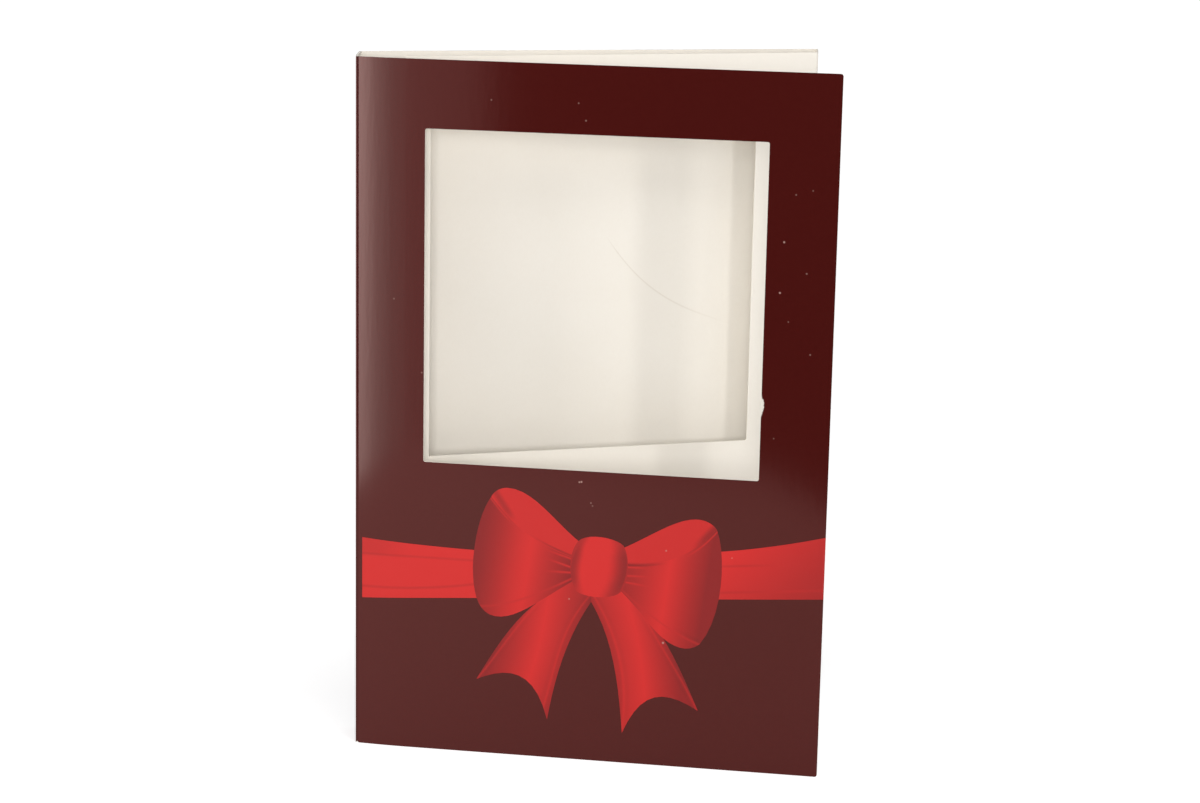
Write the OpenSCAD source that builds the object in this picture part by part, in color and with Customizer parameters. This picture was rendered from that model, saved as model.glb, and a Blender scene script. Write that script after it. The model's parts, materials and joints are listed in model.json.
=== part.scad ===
// A gift card holder: one creased sheet of board, folded into a cover with a
// window, a spine, a back, a narrow fore edge and an inner flap with a window.
// The flap, the fore edge and the back make the pocket. The outside carries a
// gloss film, printed with a ribbon and its bow. The holder stands on its edge.
// Origin: middle of the footprint, on the ground. Z is up, the back lies along X.

/* [Sheet] */
// Height of the sheet, from its bottom edge to its top edge
height = 170; // [150:1:200]
// Thickness of the board
board_t = 0.4; // [0.3:0.05:0.6]
// Thickness of the printed gloss film on the outside
film_t = 0.08; // [0.05:0.01:0.15]
// Room between a crease's bead and the panels that it joins
crease_clear = 0.07; // [0.05:0.01:0.2]
// Radius of the free corners of the sheet
corner_r = 0.6; // [0.2:0.1:2]

/* [Panels] */
// Width of the back, from crease to crease
back_w = 115; // [105:1:140]
// How much narrower the cover is than the back
cover_trim = 0.5; // [0:0.1:2]
// Depth of the spine, from crease to crease
spine_w = 12.5; // [10:0.5:25]
// How much shallower the fore edge is than the spine, so that the cover closes over the flap
flap_inset = 3.5; // [3:0.1:5]
// Gap between the flap's free edge and the spine's crease, along the back
flap_stop = 8.6; // [6:0.1:12]

/* [Fold angles] */
// Degrees that the spine stands open past square to the back
spine_open = 13.1; // [0:0.1:40]
// Degrees that the cover stands open past square to the spine
cover_open = 10; // [0:0.1:60]
// Degrees that the fore edge leans in over the back
edge_lean = 17.8; // [0:0.1:22]
// Degrees that the flap springs up from the line of the back
flap_lift = 2.3; // [0:0.1:2.5]

/* [Windows] */
// Border of the cover between the spine's crease and the window
window_near = 16.7; // [10:0.1:25]
// Border of the cover between the window and the free edge
window_far = 16.4; // [10:0.1:25]
// Border of the cover above the window
window_top = 16.3; // [10:0.1:30]
// Height of the window's lower edge above the bottom of the sheet
window_sill = 72.9; // [68:0.1:90]
// Radius of the windows' corners
window_r = 0.5; // [0.2:0.1:3]
// How far the flap's window is larger than the cover's, on each side
window_ease = 0.3; // [0:0.1:1]
// Border of the flap between the fore edge and the window
flap_border = 15.4; // [13:0.1:18]

/* [Bow] */
// Width of the bow across its two loops
bow_w = 60.7; // [50:0.1:66]
// Distance of the knot's middle from the spine's crease
knot_x = 60.3; // [50:0.1:62]
// Height of the knot's middle above the bottom of the sheet
knot_z = 49.5; // [47:0.1:52]

/* [Ribbon] */
// Width of the ribbon where it goes under the loops
ribbon_w = 11.6; // [8:0.1:14]
// Width of the ribbon at the two edges of the cover
ribbon_end_w = 15.3; // [12:0.1:18]
// Bare film between the spine's crease and the start of the ribbon
ribbon_start = 1.5; // [0.5:0.1:6]
// Drop of the left ribbon's middle below the knot's middle, at the spine
left_drop = 4.2; // [2:0.1:5]
// Rise of the left ribbon's middle from the spine to the loop
left_rise = 0.4; // [0:0.1:2]
// How far the left ribbon's upper edge hangs through
left_sag = 0.3; // [0:0.1:1]
// Drop of the right ribbon's middle below the knot's middle, at the loop
right_drop = 0.9; // [0:0.1:3]
// Rise of the right ribbon's middle above the knot's middle, at the free edge
right_rise = 2.9; // [0:0.1:4]
// How far the right ribbon's upper edge hangs through
right_sag = 0.6; // [0:0.1:1]

/* [Hidden] */

// Colours of the raw board, the dark film and the printed red
cream = [0.94, 0.90, 0.85];
maroon = [0.30, 0.08, 0.08];
red = [0.84, 0.23, 0.22];
shaded_red = [0.68, 0.20, 0.20];

// Points on one stretch of curve, and facets of a full circle
curve_steps = 10;
$fn = 48;

// Sizes that follow from the ones above
skin = board_t / 2 + film_t;
crease_r = skin;
crease_gap = crease_r + crease_clear;
cover_w = back_w - cover_trim;
edge_w = spine_w - flap_inset;
window_w = cover_w - window_near - window_far;
window_h = height - window_top - window_sill;

// The sheet's line seen from above, from the back's left crease at [0, 0]
cover_turn = -(spine_open + cover_open);
spine_back = [0, 0];
cover_spine = [-spine_w * sin(spine_open), -spine_w * cos(spine_open)];
cover_end = cover_spine + cover_w * [cos(cover_turn), sin(cover_turn)];
back_edge = [back_w, 0];
edge_flap = back_edge - edge_w * [sin(edge_lean), cos(edge_lean)];
flap_w = (edge_flap[0] - flap_stop) / cos(flap_lift);
flap_end = edge_flap - flap_w * [cos(flap_lift), sin(flap_lift)];
flap_window_x = flap_w - flap_border - window_w - 2 * window_ease;

// Middle of the footprint of the folded sheet
low_x = cover_spine[0] - crease_r;
high_x = back_w + crease_r;
low_y = cover_end[1] - skin * cos(cover_turn);
high_y = skin;
middle = [(low_x + high_x) / 2, (low_y + high_y) / 2];

// The bow is drawn in hundredths of its width, from the middle of its knot
bow_unit = bow_w / 100;
// How far the ribbons reach in under the loops
ribbon_under = 0.4 * bow_w;

// Points of a cubic curve without its last point, so that curves chain up
function curve(a, b, c, d) = [
    for (i = [0 : curve_steps - 1])
        let (t = i / curve_steps, s = 1 - t)
            s * s * s * a + 3 * s * s * t * b + 3 * s * t * t * c + t * t * t * d
];

// Points of an edge that hangs through between its two ends
function sagging(a, b, sag) =
    let (low = (a + b) / 2 - [0, 2 * sag])
        concat(curve(a, (a + 2 * low) / 3, (b + 2 * low) / 3, b), [b]);

// Free ends of the two loops, where the ribbon turns over
function left_turn() = [-44.1, 25.8];
function right_turn() = [46.4, 17.9];

function left_loop_top() = concat(
    curve([-7.8, 9.2], [-18.1, 16.7], [-27.0, 30.0], [-37.6, 29.9]),
    curve([-37.6, 29.9], [-40.2, 29.9], [-43.1, 28.3], left_turn())
);
function left_loop_fold() = curve(left_turn(), [-35.4, 14.5], [-25.5, 7.2], [-9.9, 2.5]);
function left_loop_face() = concat(
    curve([-9.4, -6.0], [-20.9, -13.4], [-31.5, -22.9], [-39.6, -23.6]),
    curve([-39.6, -23.6], [-48.6, -24.3], [-51.2, -16.0], [-51.3, -3.3]),
    curve([-51.3, -3.3], [-51.1, 6.6], [-48.6, 19.6], left_turn()),
    left_loop_fold(),
    [[-9.9, 2.5]]
);
function left_loop_lining_face() = concat(left_loop_top(), left_loop_fold(), [[-9.9, 2.5]]);

function right_loop_top() = concat(
    curve([9.2, 8.0], [19.2, 12.9], [30.0, 21.5], [38.2, 21.6]),
    curve([38.2, 21.6], [42.0, 21.7], [44.9, 20.1], right_turn())
);
function right_loop_fold() = curve(right_turn(), [37.9, 7.9], [28.0, 1.5], [9.9, 1.5]);
function right_loop_face() = concat(
    curve([7.9, -8.9], [12.9, -13.5], [16.8, -18.0], [20.8, -22.9]),
    curve([20.8, -22.9], [27.4, -30.6], [34.9, -34.5], [40.8, -29.6]),
    curve([40.8, -29.6], [49.9, -17.9], [50.6, 7.9], right_turn()),
    right_loop_fold(),
    [[9.9, 1.5]]
);
function right_loop_lining_face() = concat(right_loop_top(), right_loop_fold(), [[9.9, 1.5]]);

function knot_face() = concat(
    curve([-8.9, 9.6], [-5.5, 13.7], [6.5, 12.1], [9.5, 9.0]),
    curve([9.5, 9.0], [12.4, 4.0], [12.0, -5.9], [8.7, -10.2]),
    curve([8.7, -10.2], [5.3, -13.7], [-5.8, -13.5], [-9.2, -10.9]),
    curve([-9.2, -10.9], [-12.7, -5.3], [-12.7, 4.3], [-8.9, 9.6])
);
function left_tail_face() = concat(
    curve([-19.7, -12.8], [-32.4, -20.8], [-41.2, -35.8], [-49.4, -50.5]),
    curve([-49.4, -50.5], [-36.6, -44.5], [-25.7, -44.3], [-20.2, -65.6]),
    curve([-20.2, -65.6], [-17.4, -48.0], [-12.9, -30.6], [-3.1, -14.9]),
    [[-3.1, -14.9], [-3.1, -6.6], [-9.9, -5.8]]
);
function right_tail_face() = concat(
    [[6.6, -6.6], [-3.1, -6.6]],
    curve([-3.1, -14.9], [5.9, -29.6], [8.7, -47.8], [10.4, -69.0]),
    curve([10.4, -69.0], [17.9, -50.2], [27.0, -49.1], [40.9, -57.4]),
    curve([40.9, -57.4], [33.9, -41.6], [28.1, -28.3], [15.2, -13.2]),
    [[15.2, -13.2]]
);

// Puts a panel's own frame on the line from one crease to the next. The panel
// runs along X, stands along Z and has the outside of the sheet towards -Y.
module on_panel(from, to) {
    translate([from[0] - middle[0], from[1] - middle[1], 0])
        rotate(atan2(to[1] - from[1], to[0] - from[0]))
            children();
}

// Stands a flat outline up as a slab whose inner face is at the given Y
module slab(inner_y, thickness) {
    translate([0, inner_y, 0])
        rotate([90, 0, 0])
            linear_extrude(thickness)
                children();
}

module board() slab(board_t / 2, board_t) children();
module film() slab(-board_t / 2, film_t) children();

// A rectangle with round corners, from its lower left corner
module round_rectangle(width, tall, radius) {
    translate([0, radius])
        square([width, tall - 2 * radius]);
    translate([radius, 0])
        square([width - 2 * radius, tall]);
    for (x = [radius, width - radius], y = [radius, tall - radius])
        translate([x, y])
            circle(r = radius);
}

// A panel between two creases, square at both
module creased_outline(length) {
    translate([crease_gap, 0])
        square([length - 2 * crease_gap, height]);
}

// A panel from its crease to its free edge, whose corners are round
module free_outline(length) {
    translate([crease_gap, 0])
        square([length / 2, height]);
    translate([length / 2, 0])
        round_rectangle(length / 2, height, corner_r);
}

module cover_outline() {
    difference() {
        free_outline(cover_w);
        translate([window_near, window_sill])
            round_rectangle(window_w, window_h, window_r);
    }
}

module flap_outline() {
    difference() {
        translate([flap_w, 0])
            mirror([1, 0])
                free_outline(flap_w);
        translate([flap_window_x, window_sill - window_ease])
            round_rectangle(window_w + 2 * window_ease, window_h + 2 * window_ease, window_r);
    }
}

// The bow's drawing, placed on the cover
module on_bow() {
    translate([knot_x, knot_z])
        scale(bow_unit)
            children();
}

module knot_outline() on_bow() polygon(knot_face());

module loop_outlines() {
    on_bow() {
        polygon(left_loop_face());
        polygon(left_loop_lining_face());
        polygon(right_loop_face());
        polygon(right_loop_lining_face());
    }
}

module left_tail_outline() on_bow() polygon(left_tail_face());
module right_tail_outline() on_bow() polygon(right_tail_face());

module left_ribbon_outline() {
    near = knot_x - ribbon_under;
    low = knot_z - left_drop;
    high = low + left_rise;
    polygon(concat(
        [[ribbon_start, low - ribbon_end_w / 2], [near, high - ribbon_w / 2]],
        sagging([near, high + ribbon_w / 2], [ribbon_start, low + ribbon_end_w / 2], left_sag)
    ));
}

module right_ribbon_outline() {
    near = knot_x + ribbon_under;
    low = knot_z - right_drop;
    high = knot_z + right_rise;
    polygon(concat(
        [[near, low - ribbon_w / 2], [cover_w, high - ribbon_end_w / 2]],
        sagging([cover_w, high + ribbon_end_w / 2], [near, low + ribbon_w / 2], right_sag)
    ));
}

// Everything printed in red, which the dark film leaves bare
module bow_outline() {
    left_ribbon_outline();
    right_ribbon_outline();
    left_tail_outline();
    right_tail_outline();
    loop_outlines();
    knot_outline();
}

module on_cover() on_panel(cover_spine, cover_end) children();

module cover_board() {
    color(cream)
        on_cover()
            board() cover_outline();
}

module cover_film() {
    color(maroon)
        on_cover()
            film() difference() {
                cover_outline();
                bow_outline();
            }
}

module left_ribbon() {
    color(red)
        on_cover()
            film() difference() {
                left_ribbon_outline();
                loop_outlines();
            }
}

module right_ribbon() {
    color(red)
        on_cover()
            film() intersection() {
                cover_outline();
                difference() {
                    right_ribbon_outline();
                    loop_outlines();
                }
            }
}

// A part of a loop, which stops at the knot
module loop_print(shade, face) {
    color(shade)
        on_cover()
            film() difference() {
                on_bow() polygon(face);
                knot_outline();
            }
}

module left_loop() loop_print(red, left_loop_face());
module left_loop_lining() loop_print(shaded_red, left_loop_lining_face());
module right_loop() loop_print(red, right_loop_face());
module right_loop_lining() loop_print(shaded_red, right_loop_lining_face());

module knot() {
    color(red)
        on_cover()
            film() knot_outline();
}

// A tail hangs out from under the knot and its loop
module left_tail() {
    color(red)
        on_cover()
            film() difference() {
                left_tail_outline();
                loop_outlines();
                knot_outline();
            }
}

module right_tail() {
    color(red)
        on_cover()
            film() difference() {
                right_tail_outline();
                left_tail_outline();
                loop_outlines();
                knot_outline();
            }
}

// A crease is a bead of bent board on the line that its two panels turn about
module crease(shade, at) {
    color(shade)
        translate([at[0] - middle[0], at[1] - middle[1], 0])
            cylinder(h = height, r = crease_r);
}

module cover_crease() crease(maroon, cover_spine);
module spine_crease() crease(maroon, spine_back);
module edge_crease() crease(cream, back_edge);
module flap_crease() crease(cream, edge_flap);

module spine_board() {
    color(cream)
        on_panel(spine_back, cover_spine)
            board() creased_outline(spine_w);
}

module spine_film() {
    color(maroon)
        on_panel(spine_back, cover_spine)
            film() creased_outline(spine_w);
}

module back_board() {
    color(cream)
        on_panel(back_edge, spine_back)
            board() creased_outline(back_w);
}

module back_film() {
    color(maroon)
        on_panel(back_edge, spine_back)
            film() creased_outline(back_w);
}

module fore_edge() {
    color(cream)
        on_panel(edge_flap, back_edge)
            board() creased_outline(edge_w);
}

module flap_board() {
    color(cream)
        on_panel(flap_end, edge_flap)
            board() flap_outline();
}

cover_board();
cover_film();
left_ribbon();
right_ribbon();
left_loop();
left_loop_lining();
right_loop();
right_loop_lining();
knot();
left_tail();
right_tail();
cover_crease();
spine_board();
spine_film();
spine_crease();
back_board();
back_film();
edge_crease();
fore_edge();
flap_crease();
flap_board();
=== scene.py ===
# %% [markdown]
# # A gift card holder, finished in Blender
#
# The holder is one sheet of cream board with a gloss film over its printed
# outside. It is creased four times and stands open on its edge: cover with a
# window, spine, back, a narrow fore edge, and a flap folded in over the back.
# The CAD model gives every panel its place. This lesson gives the panels the
# slight curve of real board, bends the creases, and mixes the finishes.

# %% Load the frame
import json
import math

import bpy
from mathutils import Matrix, Vector


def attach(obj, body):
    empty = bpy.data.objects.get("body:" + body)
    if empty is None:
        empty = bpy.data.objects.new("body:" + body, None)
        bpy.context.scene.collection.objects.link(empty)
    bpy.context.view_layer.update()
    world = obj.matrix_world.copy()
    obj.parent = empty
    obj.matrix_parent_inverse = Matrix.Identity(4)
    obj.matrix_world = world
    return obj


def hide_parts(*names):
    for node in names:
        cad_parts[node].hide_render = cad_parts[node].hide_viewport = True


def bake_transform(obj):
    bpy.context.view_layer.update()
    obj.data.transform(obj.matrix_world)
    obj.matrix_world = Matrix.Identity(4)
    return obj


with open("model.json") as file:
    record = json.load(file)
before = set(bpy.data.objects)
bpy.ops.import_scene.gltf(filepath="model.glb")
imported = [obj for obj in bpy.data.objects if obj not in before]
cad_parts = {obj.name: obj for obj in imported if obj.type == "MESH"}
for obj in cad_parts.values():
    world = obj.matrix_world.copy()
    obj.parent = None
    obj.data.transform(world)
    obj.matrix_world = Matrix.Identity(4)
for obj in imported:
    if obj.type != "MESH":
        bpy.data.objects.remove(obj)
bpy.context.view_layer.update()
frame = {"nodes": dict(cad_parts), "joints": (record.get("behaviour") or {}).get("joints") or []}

# %% [markdown]
# ## The camera
#
# The camera comes first, because every finish is judged through it. Its place,
# tilt and lens are worked out from the corners of the cover, so the lens is
# long: a holder this small is photographed from about four times its height.

# %% Place the camera
MM = 0.001
PHOTO_WIDTH = 1200
SENSOR_WIDTH = 36.0
FOCAL_PIXELS = 2799.17

def unit(degrees):
    """A level direction, turned from straight ahead (+Y) towards the right."""
    return Vector((math.sin(math.radians(degrees)), math.cos(math.radians(degrees)), 0))

def place_camera(location, heading, tilt, roll):
    """Adds a camera that looks along a heading, tilted and rolled by degrees."""
    level = unit(heading)
    side = unit(heading + 90)
    tilt, roll = math.radians(tilt), math.radians(roll)
    ahead = math.cos(tilt) * level + Vector((0, 0, math.sin(tilt)))
    above = side.cross(ahead)
    right = math.cos(roll) * side + math.sin(roll) * above
    upward = math.cos(roll) * above - math.sin(roll) * side
    bpy.ops.object.camera_add()
    camera = bpy.context.object
    camera.name = "camera"
    turn = Matrix((right, upward, -ahead)).transposed().to_4x4()
    camera.matrix_world = Matrix.Translation(location) @ turn
    camera.data.sensor_width = SENSOR_WIDTH
    camera.data.lens = FOCAL_PIXELS / PHOTO_WIDTH * SENSOR_WIDTH
    bpy.context.scene.camera = camera
    return camera

camera = place_camera(Vector((-163.3, -637.0, 237.16)) * MM, 14.18, -12.75, 1.14)
bpy.context.scene.view_settings.view_transform = "Standard"
print("Camera lens in mm:", round(camera.data.lens, 2))

# %% [markdown]
# ## Shader maths as plain Python
#
# A finish is a few dozen nodes. Written one by one they hide the idea, so a
# small class wraps a socket: adding or multiplying two fields adds the Math
# node that does it. Every other node comes from one method, `add`.

# %% Fields and finishes
class Field:
    """A number that changes over a surface: one output socket of a finish."""

    def __init__(self, finish, socket):
        self.finish = finish
        self.socket = socket

    def maths(self, operation, *values):
        return self.finish.add("Math", {"operation": operation}, dict(enumerate(values)))

    def __add__(self, other):
        return self.maths("ADD", self, other)

    def __radd__(self, other):
        return self.maths("ADD", other, self)

    def __sub__(self, other):
        return self.maths("SUBTRACT", self, other)

    def __rsub__(self, other):
        return self.maths("SUBTRACT", other, self)

    def __mul__(self, other):
        return self.maths("MULTIPLY", self, other)

    def __rmul__(self, other):
        return self.maths("MULTIPLY", other, self)

    def __truediv__(self, other):
        return self.maths("DIVIDE", self, other)

    def size(self):
        return self.maths("ABSOLUTE", self)

    def at_most(self, other):
        return self.maths("MINIMUM", self, other)

    def at_least(self, other):
        return self.maths("MAXIMUM", self, other)

    def rise(self, start, end):
        """Goes smoothly from 0 at start to 1 at end, whichever of them is larger."""
        return self.finish.add("MapRange", {"interpolation_type": "SMOOTHSTEP"},
                               {"Value": self, "From Min": start, "From Max": end})

    def near(self, width):
        """1 where the field is 0, and smoothly down to 0 at width to either side."""
        return self.size().rise(width, 0)

    def curve(self, *powers):
        """A polynomial of the field, from its highest power down to its constant."""
        result = powers[0]
        for value in powers[1:]:
            result = self * result + value
        return result


class Finish:
    """A material for one of the holder's surfaces, mixed on the usual surface shader."""

    def __init__(self, name):
        self.material = bpy.data.materials.new(name)
        self.material.use_nodes = True
        self.tree = self.material.node_tree
        self.surface = self.tree.nodes["Principled BSDF"]

    def add(self, kind, settings=None, inputs=None, output=0):
        """Any node: its settings are made first, then its sockets are filled or linked."""
        node = self.tree.nodes.new("ShaderNode" + kind)
        for name, value in (settings or {}).items():
            if name == "stops":
                self.set_stops(node.color_ramp.elements, value)
            else:
                setattr(node, name, value)
        for key, value in (inputs or {}).items():
            self.fill(node.inputs[key], value)
        return Field(self, node.outputs[output])

    def set_stops(self, elements, stops):
        """A ramp starts with two stops. More are added until each colour has its own."""
        while len(elements) < len(stops):
            elements.new(1.0)
        for element, (at, colour) in zip(elements, stops):
            element.position, element.color = at, colour

    def fill(self, socket, value):
        if isinstance(value, Field):
            self.tree.links.new(value.socket, socket)
        else:
            socket.default_value = value

    def mix(self, factor, first, second):
        """A colour between two colours."""
        return self.add("Mix", {"data_type": "RGBA"}, {0: factor, 6: first, 7: second}, 2)

    def sheet(self):
        """Where on the sheet a point lies, in mm, and its along and up on their own."""
        place = self.add("Attribute", {"attribute_name": "sheet"}, output="Vector")
        along = self.add("SeparateXYZ", inputs={0: place}, output=0)
        up = self.add("SeparateXYZ", inputs={0: place}, output=1)
        return place, along, up

    def noise(self, place, scale, detail=2.0, roughness=0.5, stretch=None):
        if stretch:
            place = self.add("VectorMath", {"operation": "MULTIPLY"}, {0: place, 1: stretch})
        return self.add("TexNoise", inputs={"Vector": place, "Scale": scale, "Detail": detail,
                                            "Roughness": roughness})

    def bump(self, height, distance, strength=1.0):
        """Turns a height field into a bumped normal for the surface."""
        self.fill(self.surface.inputs["Normal"],
                  self.add("Bump", inputs={"Height": height, "Distance": distance,
                                           "Strength": strength}))

    def set(self, **values):
        for name, value in values.items():
            self.fill(self.surface.inputs[name.replace("_", " ")], value)


def paint(red, green, blue):
    """A colour in the numbers of a paint program, 0 to 255, as light: linear, 0 to 1."""
    def light(value):
        value /= 255
        return value / 12.92 if value < 0.04045 else ((value + 0.055) / 1.055) ** 2.4
    return (light(red), light(green), light(blue), 1.0)

# %% [markdown]
# ## The table and the light
#
# The holder stands on a white table in a plain studio. Six soft lamps stand
# round it: two near the camera, one far to the left, two to the right, which
# draw the shadow of the flap's edge inside the window, and one overhead. The
# rest is even light from the room. The camera sees the table a little lifted,
# so that open table is white while the holder's shadow still shows on it.
# None of the lamps shows in the gloss: that is the mirror card's work.

# %% Light the room
TABLE_WHITE = 0.80
ROOM_LIGHT = 0.35
# How much the table is lifted towards white: for the camera near the holder, and how much
# more far away; for the gloss at the left of the holder, and how much less at its right
CAMERA_LIFT, CAMERA_LIFT_FAR = 0.54, 0.22
GLOSS_LIFT, GLOSS_LIFT_LESS = 0.60, 0.36
# The places in metres between which those lifts change, and the most that is ever lifted
LIFT_NEAR, LIFT_FAR = 0.15, 1.6
GLOSS_LEFT, GLOSS_RIGHT = -0.13, 0.06
MOST_LIFT = 0.8
# Every lamp stands this far from the window, in metres
LAMP_AWAY = 1.4
LAMPS = [
    # name, heading and height in degrees, width and height in metres, watts
    ("front_lamp", 196, 10, 0.3, 0.3, 5.1),
    ("high_lamp", 203, 34, 0.4, 0.4, 0.8),
    ("left_lamp", 250, 15, 0.3, 0.3, 5.5),
    ("right_lamp", 160, 11, 0.12, 0.3, 2.3),
    ("side_lamp", 125, 13, 0.3, 0.3, 1.3),
    ("top_lamp", 180, 72, 0.5, 0.5, 4.8),
]

def seen_directly(finish):
    """Two masks: 1 for the camera and for what glass shows, and 1 for what gloss shows."""
    camera, glass, gloss = [finish.add("LightPath", output=name) for name in
                            ("Is Camera Ray", "Is Transmission Ray", "Is Glossy Ray")]
    return (camera + glass).at_most(1), gloss

def make_table():
    bpy.ops.object.select_all(action="DESELECT")
    bpy.ops.mesh.primitive_plane_add(size=9, location=(0, 1.5, 0))
    bpy.ops.object.transform_apply()
    table = bpy.context.object
    table.name = "table"
    finish = Finish("white_table")
    place = finish.add("TexCoord", output="Object")
    cloudy = finish.noise(place, 3.0)
    white = [TABLE_WHITE] * 3 + [1]
    finish.set(Base_Color=finish.mix(cloudy, white, [TABLE_WHITE * 0.99] * 3 + [1]),
               Roughness=0.9, Specular_IOR_Level=0.0, Emission_Strength=1.0)
    away = finish.add("VectorMath", {"operation": "LENGTH"}, {0: place}, "Value")
    x, y = [finish.add("SeparateXYZ", inputs={0: place}, output=i) for i in range(2)]
    across = x * 0.92 - y * 0.39
    direct, gloss = seen_directly(finish)
    lift = direct * (CAMERA_LIFT + away.rise(LIFT_NEAR, LIFT_FAR) * CAMERA_LIFT_FAR)
    less = across.rise(GLOSS_LEFT, GLOSS_RIGHT) * GLOSS_LIFT_LESS
    lift = (lift + gloss * (GLOSS_LIFT - less)).at_most(MOST_LIFT)
    finish.set(Emission_Color=finish.mix(lift, (0, 0, 0, 1), (1, 1, 1, 1)))
    table.data.materials.append(finish.material)
    return table

def light_room():
    """Even light. The world has a node tree as a material has, so a finish can hold it."""
    world = bpy.data.worlds.new("room")
    bpy.context.scene.world = world
    world.use_nodes = True
    finish = Finish.__new__(Finish)
    finish.tree = world.node_tree
    background = world.node_tree.nodes["Background"]
    direct = seen_directly(finish)[0]
    finish.fill(background.inputs["Strength"], ROOM_LIGHT + direct * (1 - ROOM_LIGHT))
    background.inputs["Color"].default_value = (1, 1, 1, 1)

def lamp(name, heading, height, width, tall, watts):
    """A soft lamp that looks at the window, from a heading and a height in degrees."""
    target = Vector((0, 0, 0.10))
    rise = math.radians(height)
    ray = unit(heading) * math.cos(rise) + Vector((0, 0, math.sin(rise)))
    bpy.ops.object.light_add(type="AREA", location=target + ray * LAMP_AWAY)
    light = bpy.context.object
    light.name = name
    light.rotation_euler = (-ray).to_track_quat("-Z", "Y").to_euler()
    light.data.shape = "RECTANGLE"
    light.data.size, light.data.size_y = width, tall
    light.data.energy = watts
    light.visible_glossy = False
    return light

table = make_table()
light_room()
lamps = [lamp(*values) for values in LAMPS]
print("Table:", table.name, "- lamps:", [light.name for light in lamps])

# %% [markdown]
# ## What the gloss mirrors
#
# A flat gloss panel mirrors one narrow stretch of the room. Photographers
# control that stretch with a card that only the gloss sees. It stands round
# the front left of the table, from the table's edge up, and its brightness
# runs from near black on the right to a strong white on the left.

# %% Stand up the mirror card
# The card seen from above, in mm, from its left end to its right, and how tall it stands
CARD_PLAN = [(-300, -60), (-250, -160), (-245, -202), (-233, -253), (-113, -288), (-68, -254),
             (60, -160)]
CARD_TALL = 350
# Its brightness changes with the heading from this point, and is a share of the fullest
CARD_EYE = (-59, 16)
CARD_FULL = 8.0

def make_mirror_card():
    bpy.ops.object.select_all(action="DESELECT")
    bpy.ops.mesh.primitive_grid_add(x_subdivisions=len(CARD_PLAN) - 1, y_subdivisions=1, size=1)
    card = bpy.context.object
    card.name = "mirror_card"
    for vertex in card.data.vertices:
        x, y = CARD_PLAN[round((vertex.co.x + 0.5) * (len(CARD_PLAN) - 1))]
        vertex.co = Vector((x, y, (vertex.co.y + 0.5) * CARD_TALL)) * MM
    finish = Finish("graded_card")
    place = finish.add("TexCoord", output="Object")
    x, y, high = [finish.add("SeparateXYZ", inputs={0: place}, output=i) * 1000 for i in range(3)]
    turn = (CARD_EYE[0] - x).maths("ARCTAN2", CARD_EYE[0] - x, CARD_EYE[1] - y) * (180 / math.pi)
    strong = turn.rise(37, 42.6) * 1.6 + turn.rise(41.5, 46.5) * 4.5
    glow = (0.02 + turn.rise(27.5, 30.2) * 0.93 + turn.rise(32, 37) * 0.7
            + strong * (0.72 + high.rise(0, 130) * 0.28))
    cool = finish.mix(turn.rise(31, 40), (1, 1, 1, 1), (0.74, 1, 1, 1))
    finish.set(Base_Color=(0, 0, 0, 1), Specular_IOR_Level=0.0, Emission_Strength=CARD_FULL,
               Emission_Color=finish.mix(glow / CARD_FULL, (0, 0, 0, 1), cool))
    card.data.materials.append(finish.material)
    for kind in ("camera", "diffuse", "transmission", "volume_scatter", "shadow"):
        setattr(card, "visible_" + kind, False)
    return card

card = make_mirror_card()
print("Mirror card:", len(card.data.polygons), "panes, seen by gloss alone")

# %% [markdown]
# ## The sheet and its panels
#
# A panel is flat in CAD. Each has its own frame here: how far along from its
# first crease, how high, and how far out from the middle of the board. Real
# board is drawn in a little where it is creased, so a panel's point is moved
# out or in by a smooth amount that depends only on where it is on the panel.
# The film and the print on it move with the board, and all stay joined.

# %% Describe the panels
# The sheet in mm: its height, the thickness of its board and film, and its panels' lengths
HEIGHT = 170.0
BOARD, FILM = 0.40, 0.08
COVER_LONG, SPINE_LONG, BACK_LONG, FORE_EDGE_LONG, FLAP_LONG = 114.5, 12.5, 115.0, 9.0, 103.8
# How far each fold is from square or flat at rest, in degrees
SPINE_OPEN, COVER_OPEN, EDGE_LEAN, FLAP_LIFT = 13.1, 10.0, 17.8, 2.3
# What is cut off a panel beside each crease, in mm, to make room for the bent strip
TRIM = 0.55

def hinge_place(name):
    return next(Vector(j["pos_m"]) for j in frame["joints"] if j["name"] == name) / MM


class Panel:
    """One panel of the sheet: its crease, heading, outside, and how creasing draws it in."""

    def __init__(self, crease, heading, outside, length, near, far=(0.0, 1.0)):
        self.crease = crease
        self.along = unit(heading)
        self.outside = unit(heading + outside)
        self.length, self.near, self.far = length, near, far

    def on_panel(self, point):
        """Along, up and out, in mm, of a point in metres."""
        step = Vector(point) / MM - self.crease
        return Vector((step.dot(self.along), step.z, step.dot(self.outside)))

    def drawn_in(self, along):
        """How far the panel's middle lies inside its flat place."""
        depth, reach = self.near
        inward = depth * max(0.0, 1 - along / reach) ** 2
        depth, reach = self.far
        return inward + depth * max(0.0, 1 - (self.length - along) / reach) ** 2

    def slope(self, along):
        """How fast the panel comes out as one goes along it."""
        step = 0.01
        return (self.drawn_in(along - step) - self.drawn_in(along + step)) / (2 * step)

    def place(self, along, up, out=0.0):
        """The point in metres, on the curved panel. Its out is square to the curve."""
        slope = self.slope(along)
        lean = 1 / math.hypot(1, slope)
        offset = (-slope * lean * self.along + lean * self.outside) * out
        middle = self.crease + self.along * along - self.outside * self.drawn_in(along)
        return (middle + offset + Vector((0, 0, up))) * MM


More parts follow.
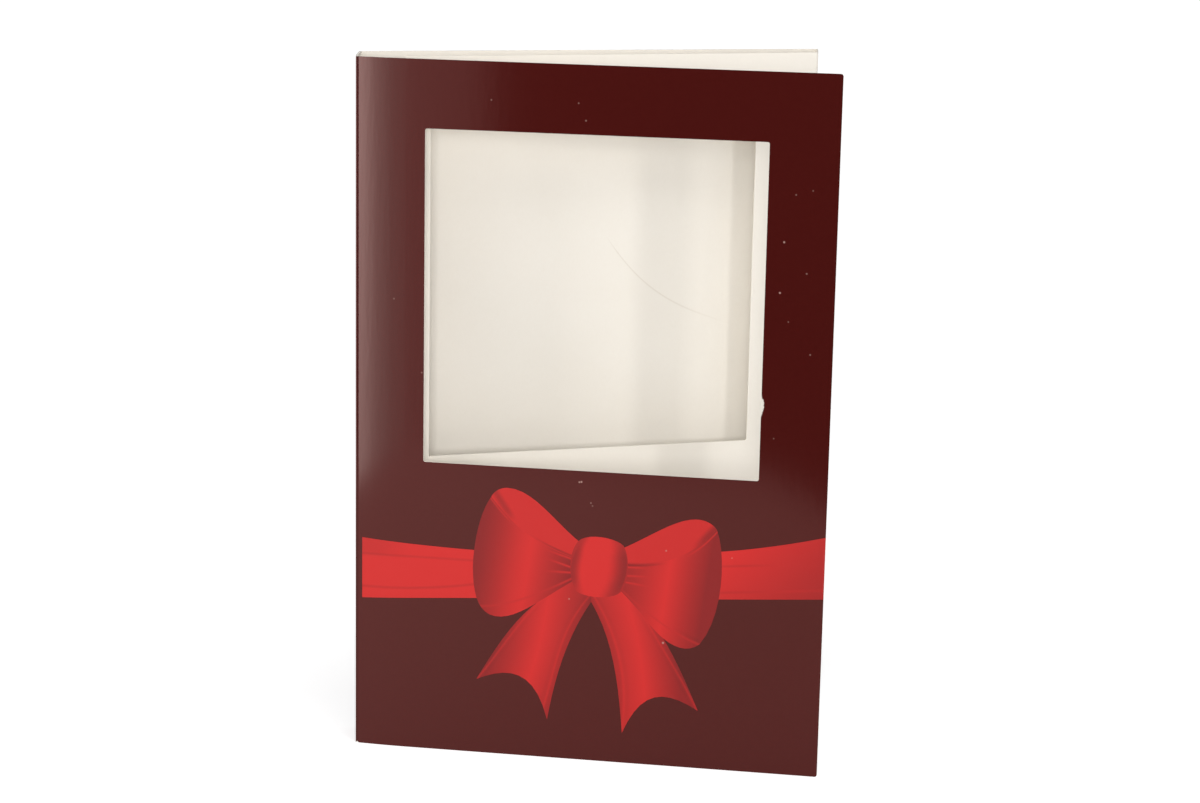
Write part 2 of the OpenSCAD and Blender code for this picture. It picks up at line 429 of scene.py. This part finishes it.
SPINE_AT, COVER_AT = hinge_place("spine_hinge"), hinge_place("cover_hinge")
EDGE_AT, FLAP_AT = hinge_place("edge_hinge"), hinge_place("flap_hinge")
PANELS = {
    "cover": Panel(COVER_AT, 90 + SPINE_OPEN + COVER_OPEN, 90, COVER_LONG, near=(0.55, 13)),
    "spine": Panel(SPINE_AT, 180 + SPINE_OPEN, 90, SPINE_LONG, near=(0.12, 5), far=(0.12, 5)),
    "back": Panel(SPINE_AT, 90, -90, BACK_LONG, near=(0.25, 10), far=(0.2, 10)),
    "fore_edge": Panel(EDGE_AT, 180 + EDGE_LEAN, -90, FORE_EDGE_LONG, near=(0.08, 4),
                       far=(0.08, 4)),
    "flap": Panel(FLAP_AT, 270 - FLAP_LIFT, -90, FLAP_LONG, near=(0.2, 10)),
}
for name, panel in PANELS.items():
    print(name, "along", tuple(round(v, 4) for v in panel.along),
          "outside", tuple(round(v, 4) for v in panel.outside))

# %% [markdown]
# ## Cutting a panel's skin into a grid
#
# A flat CAD face has no points in its middle, so it can't curve. A copy of the
# node is merged, its flat faces are joined up, and it is cut by straight
# planes every few millimetres, as with the bisect tool. The strip nearest to a
# crease is cut away, because the bent crease takes its place.

# %% Copy a node, cut it and curve it
def bisect(place, normal, clear=False):
    bpy.ops.mesh.select_all(action="SELECT")
    bpy.ops.mesh.bisect(plane_co=place, plane_no=normal, use_fill=clear, clear_outer=clear,
                        threshold=1e-7)

def copy_of(node, name):
    """A copy of a CAD node's mesh as a new piece, merged, with its flat faces joined."""
    piece = bpy.data.objects.new(name, frame["nodes"][node].data.copy())
    bpy.context.scene.collection.objects.link(piece)
    piece.data.materials.clear()
    bpy.ops.object.select_all(action="DESELECT")
    piece.select_set(True)
    bpy.context.view_layer.objects.active = piece
    bpy.ops.mesh.customdata_custom_splitnormals_clear()
    bpy.ops.object.mode_set(mode="EDIT")
    bpy.ops.mesh.select_all(action="SELECT")
    bpy.ops.mesh.remove_doubles(threshold=1e-6)
    bpy.ops.mesh.dissolve_limited(angle_limit=math.radians(0.2))
    return piece

def steps(low, high, step, extra=()):
    count = max(1, round((high - low) / step))
    even = [low + (high - low) * i / count for i in range(1, count)]
    return sorted(set(even) | {value for value in extra if low < value < high})

def curve_panel(piece, panel, step=4.0, extra=(), trims=()):
    """Cuts the piece into a grid, trims it at its creases and moves it onto the curve."""
    for at, keep in trims:
        bisect(panel.place(at, 0), -panel.along if keep > 0 else panel.along, clear=True)
    corners = [panel.on_panel(v.co) for v in piece.data.vertices]
    lows = [min(c[i] for c in corners) for i in range(2)]
    highs = [max(c[i] for c in corners) for i in range(2)]
    for at in steps(lows[0], highs[0], step, extra):
        bisect((panel.crease + panel.along * at) * MM, panel.along)
    for at in steps(lows[1], highs[1], step):
        bisect(Vector((0, 0, at)) * MM, (0, 0, 1))
    bpy.ops.object.mode_set(mode="OBJECT")
    keep_place(piece, [panel.on_panel(v.co) for v in piece.data.vertices])
    for vertex in piece.data.vertices:
        vertex.co = panel.place(*panel.on_panel(vertex.co))

def keep_place(piece, places):
    """Writes each point's place on the sheet, in mm, for the finishes to read."""
    attribute = piece.data.attributes.new("sheet", "FLOAT_VECTOR", "POINT")
    attribute.data.foreach_set("vector", [value for place in places for value in place])

def dress(piece, finish):
    piece.data.materials.clear()
    piece.data.materials.append(finish.material)
    bpy.ops.object.select_all(action="DESELECT")
    piece.select_set(True)
    bpy.context.view_layer.objects.active = piece
    bpy.ops.object.shade_smooth_by_angle(angle=math.radians(30))

# %% [markdown]
# ## Marks of use
#
# A sheet that has been handled isn't spotless. Specks of dust lie on the film,
# a thin curved scratch crosses the inside of the back, and in one place the
# film is chipped off the cut edge of the window, so that the board shows.

# %% Prepare the marks of use
SKIN = BOARD / 2 + FILM
DUST_COLOUR = paint(186, 150, 140)
FILM_DUST = [
    # along, up, radius, strength
    (53.2, 161.0, 0.30, 0.35), (55.0, 157.0, 0.32, 0.45), (32.5, 161.0, 0.30, 0.35),
    (104.6, 141.7, 0.30, 0.35), (108.5, 142.8, 0.28, 0.30), (102.2, 130.5, 0.36, 0.75),
    (107.7, 123.3, 0.32, 0.40), (101.6, 118.5, 0.36, 0.75), (103.8, 111.7, 0.28, 0.30),
    (109.2, 104.1, 0.30, 0.40), (101.3, 83.5, 0.28, 0.30), (9.3, 112.6, 0.32, 0.25),
    (16.2, 94.9, 0.32, 0.30), (57.9, 65.1, 0.30, 0.35), (55.0, 70.1, 0.32, 0.7),
    (55.5, 70.2, 0.34, 0.8), (58.3, 64.4, 0.28, 0.3),
]
PRINT_DUST = [(76.4, 54.4, 0.32, 0.5), (92.3, 53.6, 0.28, 0.35),
              (53.0, 40.8, 0.30, 0.5), (76.2, 31.3, 0.40, 0.75)]
# Where the scratch runs and where the chip is, along and up in mm
SCRATCH = [(62.6, 122.7), (70.1, 113.8), (81.5, 106.0), (94.4, 101.1)]
CHIP_EDGE, CHIP_HEIGHT = 98.1, 91.2

def dusted(finish, colour, place, specks):
    """The colour, with pale specks at the given places on the sheet."""
    for along, up, radius, strength in specks:
        gap = finish.add("VectorMath", {"operation": "DISTANCE"},
                         {0: place, 1: (along, up, SKIN)}, "Value")
        colour = finish.mix(gap.rise(radius, radius * 0.2) * strength, colour, DUST_COLOUR)
    return colour

def fitted(x, *points):
    """The height of the smooth curve through three or four given points, above each x."""
    rows = Matrix([[px ** (len(points) - 1 - i) for i in range(len(points))] for px, _ in points])
    return x.curve(*(rows.inverted() @ Vector([py for _, py in points])))

def scratched(finish, colour, along, up):
    """The colour, a little darker on the thin line of the scratch."""
    line = (up - fitted(along, *SCRATCH)).near(0.38)
    ends = along.rise(61.0, 65.0) * along.rise(96.0, 76.0)
    return finish.mix(line * ends * 0.4, colour, paint(214, 203, 188))

def chipped(finish, colour, place, along, up):
    """The film's colour, with bare board where the window's cut edge is chipped."""
    ragged = finish.noise(place, 1.6, 4.0, 0.7)
    reach = (up - CHIP_HEIGHT).near(3.8) * ragged * 1.45
    bare = (along - CHIP_EDGE - reach + 0.15).rise(0.12, -0.12)
    beside = along.rise(CHIP_EDGE - 2, CHIP_EDGE - 1) * (up - CHIP_HEIGHT).size().rise(3.4, 3.0)
    return finish.mix(bare * beside, colour, paint(222, 216, 206))

print(len(FILM_DUST) + len(PRINT_DUST), "specks of dust")

# %% [markdown]
# ## Cream board
#
# The board is uncoated on its inside: matt, warm white, with short fibres that
# show as a faint mottle and a very fine tooth.

# %% Mix the cream board
def mix_board(name, scratch=False):
    finish = Finish(name)
    place, along, up = finish.sheet()
    fibres = finish.noise(place, 2.4, 4.0, 0.6, stretch=(1.0, 0.45, 1.0))
    clouds = finish.noise(place, 0.06, 3.0)
    tone = (fibres * 0.5 + clouds * 0.5)
    colour = finish.mix(tone, paint(240, 233, 222), paint(247, 242, 233))
    if scratch:
        colour = scratched(finish, colour, along, up)
    finish.set(Base_Color=colour, Roughness=0.82, Specular_IOR_Level=0.25)
    finish.bump(fibres, 0.00002, 0.5)
    return finish

cream_board = mix_board("cream_board")
scratched_board = mix_board("scratched_board", scratch=True)
print("Board finishes:", cream_board.material.name, scratched_board.material.name)

# %% [markdown]
# ## Dark gloss film
#
# The outside is printed a deep maroon and covered with a clear gloss film, so
# the colour is under a smooth coat that mirrors the room softly.

# %% Mix the dark film
FILM_ROUGHNESS = 0.11
FILM_TINT = (1.0, 0.52, 0.48, 1.0)

def peel(finish, place):
    """The film's faint ripple, which runs with the grain of the board, up the sheet."""
    finish.bump(finish.noise(place, 1.1, 2.0, stretch=(1.0, 0.12, 1.0)), 0.00002, 0.35)

def mix_film(name, dark, light, used=False):
    finish = Finish(name)
    place, along, up = finish.sheet()
    colour = finish.mix(finish.noise(place, 1.3, 3.0, 0.6), dark, light)
    if used:
        colour = chipped(finish, dusted(finish, colour, place, FILM_DUST), place, along, up)
    finish.set(Base_Color=colour, Roughness=FILM_ROUGHNESS,
               Specular_IOR_Level=0.5, Specular_Tint=FILM_TINT)
    peel(finish, place)
    return finish

dark_film = mix_film("dark_film", paint(66, 15, 13), paint(70, 19, 16))
cover_film = mix_film("cover_film", paint(66, 15, 13), paint(70, 19, 16), used=True)
# The creases' film is mixed darker than the rest of the film: painted shade, for the dark line that a
# rounded crease mirrors from the room.
crease_film = mix_film("crease_film", paint(58, 12, 11), paint(66, 17, 15))
print("Film finishes:", [film.material.name for film in (dark_film, cover_film, crease_film)])

# %% [markdown]
# ## Red print, shaded like ribbon
#
# The ribbon and its bow are printed flat, but drawn as shining satin: each
# loop has one bright band and falls off to dark red at its end, with pleats
# that run in under the knot. Every part is drawn as one number, its tone,
# from 0 for the darkest red to 1 for the brightest, and one ramp turns tone
# into red. Places on the drawing are in mm from the middle of the knot.

# %% Turn tone into red print
KNOT_X, KNOT_Z = 60.3, 49.5
REDS = [(0.0, paint(128, 26, 28)), (0.5, paint(167, 32, 32)), (1.0, paint(203, 38, 37))]

def towards(tone, target, mask):
    """The tone, moved to a target as far as the mask says."""
    return tone + (target - tone) * mask

def mix_print(name, draw):
    """A red print under the same gloss film. Draw gets a place and gives its tone."""
    finish = Finish(name)
    place, along, up = finish.sheet()
    tone = draw(along - KNOT_X, up - KNOT_Z)
    tone = tone + finish.noise(place, 2.2, 2.0) * 0.03 - 0.015
    colour = finish.add("ValToRGB", {"stops": REDS}, {0: tone})
    finish.set(Base_Color=dusted(finish, colour, place, PRINT_DUST),
               Roughness=FILM_ROUGHNESS, Specular_IOR_Level=0.5, Specular_Tint=FILM_TINT)
    peel(finish, place)
    return finish

# %% [markdown]
# ## The loops
#
# A loop is brightest in one soft band. Light lines and dark hollows between
# them fan out from the knot, and a hem runs along the lower edge, with a
# paler lip below it.

# %% Draw the two loops
LEFT_FOLD = [(-26.9, 15.7), (-21.8, 10.0), (-13.7, 4.50), (-7.0, 1.75)]
RIGHT_FOLD = [(28.3, 10.7), (22.0, 4.7), (14.2, 1.5), (7.0, 0.9)]
LEFT_HEM = [(-29.5, -12.0), (-22.0, -10.6), (-14.0, -7.35), (-7.4, -3.9)]
RIGHT_HEM = [(24.0, -17.8), (18.5, -15.2), (12.0, -10.9), (6.0, -6.0)]
LINE_TONE = 0.68

def draw_left_loop(x, y):
    band = x - (y * 0.15 - 17.4)
    tone = band.rise(-14.3, 1.2).at_most(1 - band * 0.092)
    fan = x.rise(-14.5, -9.0)
    for height in [x * -0.30 - 0.66, x * -0.30 - 2.80, -2.05]:
        tone = towards(tone, 0.80, (y - height).near(0.5) * fan)
    below = y - fitted(x, *LEFT_HEM)
    tone = towards(tone, LINE_TONE, below.near(0.55) * (x.rise(-14.5, -9.0) * 0.35 + 0.6))
    above = y - fitted(x, *LEFT_FOLD)
    tone = tone - (above - 0.45).near(0.4) * x.rise(-17.5, -10.0) * 0.5
    return towards(tone, 0.72, (above + 0.35).near(0.5) * x.rise(-20.5, -23.5))

def draw_right_loop(x, y):
    band = x - (y * 0.13 + 17.0)
    tone = (band * 0.072 + 1).at_most(1 - band * 0.1).at_least(0.05)
    fan = x.rise(13.0, 9.0)
    for height in [x * 0.02 + 0.05, x * 0.02 - 2.1, x * -0.12 - 2.84]:
        tone = towards(tone, 0.76, (y - height).near(0.45) * fan)
    below = y - fitted(x, *RIGHT_HEM)
    tone = towards(tone, LINE_TONE, below.near(0.55) * 0.6)
    tone = tone - (below - 0.9).near(0.7) * x.rise(17.0, 22.0) * 0.08
    above = y - fitted(x, *RIGHT_FOLD)
    tone = tone - (above + 0.1).near(0.5) * x.rise(17.5, 12.0) * 0.35
    return towards(tone, 0.72, (above + 0.35).near(0.5) * x.rise(20.0, 23.0))

def draw_left_lining(x, y):
    streak = (y - (x * -1.5 - 21.75)) * 0.55
    tone = towards(0.86, 0.38, streak.near(1.4) * y.rise(9.5, 13.0))
    above = y - fitted(x, *LEFT_FOLD)
    return tone - (above - 0.45).near(0.5) * x.rise(-17.5, -10.0) * 0.55

def draw_right_lining(x, y):
    streak = (y - (x * 1.10 - 19.6)) * 0.67
    tone = towards(0.84, 0.16, streak.near(1.7) * x.rise(21.5, 26.0))
    above = y - fitted(x, *RIGHT_FOLD)
    return tone - above.near(0.7) * x.rise(17.5, 12.0) * 0.45

left_loop_print = mix_print("left_loop_red", draw_left_loop)
right_loop_print = mix_print("right_loop_red", draw_right_loop)
left_lining_print = mix_print("left_lining_red", draw_left_lining)
right_lining_print = mix_print("right_lining_red", draw_right_lining)
print("Nodes in the left loop's print:", len(left_loop_print.tree.nodes))

# %% [markdown]
# ## The knot, the tails and the ribbon
#
# The knot is bright in its middle, with a narrow hollow at its left and a
# wider one at its right. The tails have one bright band each and a light hem
# just inside both edges. The ribbon is nearly flat, a little duller towards
# the free edge of the cover.

# %% Draw the knot, the tails and the ribbon
def draw_knot(x, y):
    left = x - fitted(y, (5.0, -5.5), (0.0, -7.15), (-6.0, -6.6))
    right = fitted(y, (5.0, 6.3), (0.0, 6.95), (-6.0, 5.3)) - x
    narrow = y.rise(1.5, 6.0) * 0.35 + 1
    calm = 1 - y.rise(2.0, 7.0) * 0.4
    faint = 1 - y.rise(-3.0, -7.0) * 0.5
    shade = ((1 - (left * narrow).rise(0.6, 3.2)) * 0.80 * faint
             + (1 - (right * narrow).rise(0.6, 5.2)) * 0.92 * (1 - y.rise(-4.0, -8.0) * 0.25))
    tone = 1 - shade * calm
    return towards(tone, 0.42, (left.near(0.5) + right.near(0.45)).at_most(1))

def hemmed(tone, inside):
    """A light line just inside an edge, and a duller strip beyond it."""
    tone = tone - inside.rise(0.0, -0.8) * 0.11 - (inside - 0.9).near(0.8) * 0.05
    return towards(tone, tone * 0.5 + 0.46, inside.near(0.5) * 0.85)

def draw_left_tail(x, y):
    band = x - fitted(y, (-10.0, -12.6), (-18.0, -13.9), (-29.0, -16.6))
    tone = (1 - band.size() * 0.082).at_least(0.12)
    tone = hemmed(tone, x - fitted(y, (-12.0, -16.4), (-16.0, -19.5), (-22.0, -23.7), (-29.5, -29.0)))
    return hemmed(tone, fitted(y, (-8.5, -3.0), (-14.0, -6.4), (-20.0, -8.9), (-28.0, -11.1)) - x)

def draw_right_tail(x, y):
    band = x - fitted(y, (-10.0, 7.6), (-20.0, 10.1), (-32.0, 11.7))
    tone = (1 + band * 0.065).at_most(1 - band * 0.1).at_least(0.12)
    tone = hemmed(tone, x - fitted(y, (-8.3, -0.8), (-14.0, 2.25), (-20.0, 4.55), (-30.0, 6.5)))
    return hemmed(tone, fitted(y, (-18.5, 15.1), (-22.0, 17.3), (-28.0, 20.95), (-34.0, 24.2)) - x)

def draw_left_ribbon(x, y):
    lower = y - fitted(x, (-55.0, -8.85), (-45.0, -8.4), (-35.0, -7.25))
    tone = 1.0 - x.rise(-45, -57) * y.rise(-2.0, 0.5) * 0.22
    return tone - (y + 0.55).near(0.55) * 0.22 - lower.near(0.6) * 0.26

def draw_right_ribbon(x, y):
    upper = y - (x * 0.09 - 0.8)
    lower = y - (x * 0.088 - 7.3)
    tone = (x * -0.0206 + y * 0.019 + 1.55).at_most(1)
    tone = tone - upper.near(0.55) * x.rise(44, 34) * 0.22
    return tone + lower.near(0.6) * (x.rise(30, 50) * 0.30 - 0.18)

knot_print = mix_print("knot_red", draw_knot)
left_tail_print = mix_print("left_tail_red", draw_left_tail)
right_tail_print = mix_print("right_tail_red", draw_right_tail)
left_ribbon_print = mix_print("left_ribbon_red", draw_left_ribbon)
right_ribbon_print = mix_print("right_ribbon_red", draw_right_ribbon)
print("Nodes in the knot's print:", len(knot_print.tree.nodes))

# %% [markdown]
# ## The panels
#
# Every CAD node of a panel is replaced by its curved copy, in its own finish.

# %% Curve all panels
PIECES = [
    # node, panel, finish, slot, trims
    ("cover_board", "cover", cream_board, "board", [(TRIM, 1)]),
    ("cover_film", "cover", cover_film, "dark_film", [(TRIM, 1)]),
    ("left_ribbon", "cover", left_ribbon_print, "ribbon_red", []),
    ("right_ribbon", "cover", right_ribbon_print, "ribbon_red", []),
    ("left_loop", "cover", left_loop_print, "bow_red", []),
    ("left_loop_lining", "cover", left_lining_print, "lining_red", []),
    ("right_loop", "cover", right_loop_print, "bow_red", []),
    ("right_loop_lining", "cover", right_lining_print, "lining_red", []),
    ("knot", "cover", knot_print, "bow_red", []),
    ("left_tail", "cover", left_tail_print, "bow_red", []),
    ("right_tail", "cover", right_tail_print, "bow_red", []),
    ("spine_board", "spine", cream_board, "board", [(TRIM, 1), (SPINE_LONG - TRIM, -1)]),
    ("spine_film", "spine", dark_film, "dark_film", [(TRIM, 1), (SPINE_LONG - TRIM, -1)]),
    ("back_board", "back", scratched_board, "board", [(TRIM, 1), (BACK_LONG - TRIM, -1)]),
    ("back_film", "back", dark_film, "dark_film", [(TRIM, 1), (BACK_LONG - TRIM, -1)]),
    ("fore_edge", "fore_edge", cream_board, "board", [(TRIM, 1), (FORE_EDGE_LONG - TRIM, -1)]),
    ("flap_board", "flap", cream_board, "board", [(TRIM, 1)]),
]
NEAR_CREASES = {
    "cover": [1.5, 2.5, 3.5, 5, 6.5, 8, 10, 12, 14],
    "spine": [1.5, 2.5, 3.5, 5, 7.5, 9, 10, 11],
    "back": [1.5, 2.5, 4, 6, 8, 10, 105, 107, 109, 111, 112.5, 113.5],
    "fore_edge": [1.5, 2.5, 3.5, 5, 6, 7, 7.7],
    "flap": [1.5, 2.5, 4, 6, 8, 10],
}

for node, panel, finish, slot, trims in PIECES:
    piece = copy_of(node, node + "_sheet")
    curve_panel(piece, PANELS[panel], extra=NEAR_CREASES[panel], trims=trims)
    dress(piece, finish)
    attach(piece, panel)
    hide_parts(node)
    print(piece.name, len(piece.data.polygons), "faces")

# %% [markdown]
# ## The bent creases
#
# A crease isn't a hinge with a pin: the sheet itself bends. Each crease is a
# narrow strip that leaves one panel along its slope and comes in along the
# next. The lower end of the cover's crease, on which the holder stands, is a
# little worn.

# %% Bend the creases
# How far a crease's lower end is worn off, in mm
WORN_END = {"cover_crease": 0.4}
# How far a bend's two handles reach, as a share of the trim, and the faces in each strip
BEND_HANDLE = 0.578
STRIPS_ACROSS, STRIPS_UP = 12, 44

def bend(start, start_heading, end, end_heading, share):
    """A point and its outward side on the smooth bend from one panel to the next."""
    handle = BEND_HANDLE * TRIM * MM
    a, b = start, start + start_heading * handle
    c, d = end - end_heading * handle, end
    s, t = 1 - share, share
    place = s ** 3 * a + 3 * s * s * t * b + 3 * s * t * t * c + t ** 3 * d
    heading = (s * s * (b - a) + 2 * s * t * (c - b) + t * t * (d - c)).normalized()
    return place, Vector((heading.y, -heading.x, 0))

def panel_end(panel, at, up, leaving):
    """Middle of the board and heading where a crease's strip starts or ends."""
    step = 0.05
    place = panel.place(at, up)
    ahead = (panel.place(at + step, up) - panel.place(at - step, up)).normalized()
    return place, ahead if leaving > 0 else -ahead

def crease_strip(name, first, first_at, first_way, second, second_at, second_way,
                 outer, thick, finish, slot, worn=0.0):
    """A bent strip from one panel to the next, its outer face at outer mm from the middle."""
    bpy.ops.object.select_all(action="DESELECT")
    bpy.ops.mesh.primitive_grid_add(x_subdivisions=STRIPS_ACROSS, y_subdivisions=STRIPS_UP,
                                    size=1)
    piece = bpy.context.object
    piece.name = name
    places = []
    for vertex in piece.data.vertices:
        share, up = vertex.co.x + 0.5, (vertex.co.y + 0.5) * HEIGHT
        if up < 0.001:
            up = worn * math.sin(math.pi * share)
        start, start_heading = panel_end(PANELS[first], first_at, up, first_way)
        end, end_heading = panel_end(PANELS[second], second_at, up, second_way)
        place, out = bend(start, start_heading, end, end_heading, share)
        vertex.co = place + out * outer * MM
        places.append((share * 2, up, outer))
    keep_place(piece, places)
    solid = piece.modifiers.new("thickness", "SOLIDIFY")
    solid.thickness = thick * MM
    solid.offset = -1
    bpy.ops.object.modifier_apply(modifier=solid.name)
    dress(piece, finish)
    middle = HEIGHT / 2
    start = panel_end(PANELS[first], first_at, middle, first_way)[0]
    end = panel_end(PANELS[second], second_at, middle, second_way)[0]
    chord = (end - start).normalized() * 0.2 * MM
    start + chord
    end - chord
    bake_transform(piece)
    return piece

CREASES = [
    # node, first panel, where, way, second panel, where, way, printed
    ("flap_crease", "flap", TRIM, -1, "fore_edge", FORE_EDGE_LONG - TRIM, -1, False),
    ("edge_crease", "fore_edge", TRIM, -1, "back", BACK_LONG - TRIM, -1, False),
    ("spine_crease", "back", TRIM, -1, "spine", TRIM, 1, True),
    ("cover_crease", "spine", SPINE_LONG - TRIM, 1, "cover", TRIM, 1, True),
]
for node, first, first_at, first_way, second, second_at, second_way, printed in CREASES:
    ends = (first, first_at, first_way, second, second_at, second_way)
    worn = WORN_END.get(node, 0.0)
    strip = crease_strip(node + "_board", *ends, BOARD / 2, BOARD, cream_board, "board", worn)
    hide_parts(node)
    if printed:
        # The film on a crease takes that darker mix: painted shade along the bend.
        strip = crease_strip(node + "_film", *ends, SKIN, FILM, crease_film, "crease_film", worn)
        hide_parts(node)
    print(node, "bends from", first, "to", second)
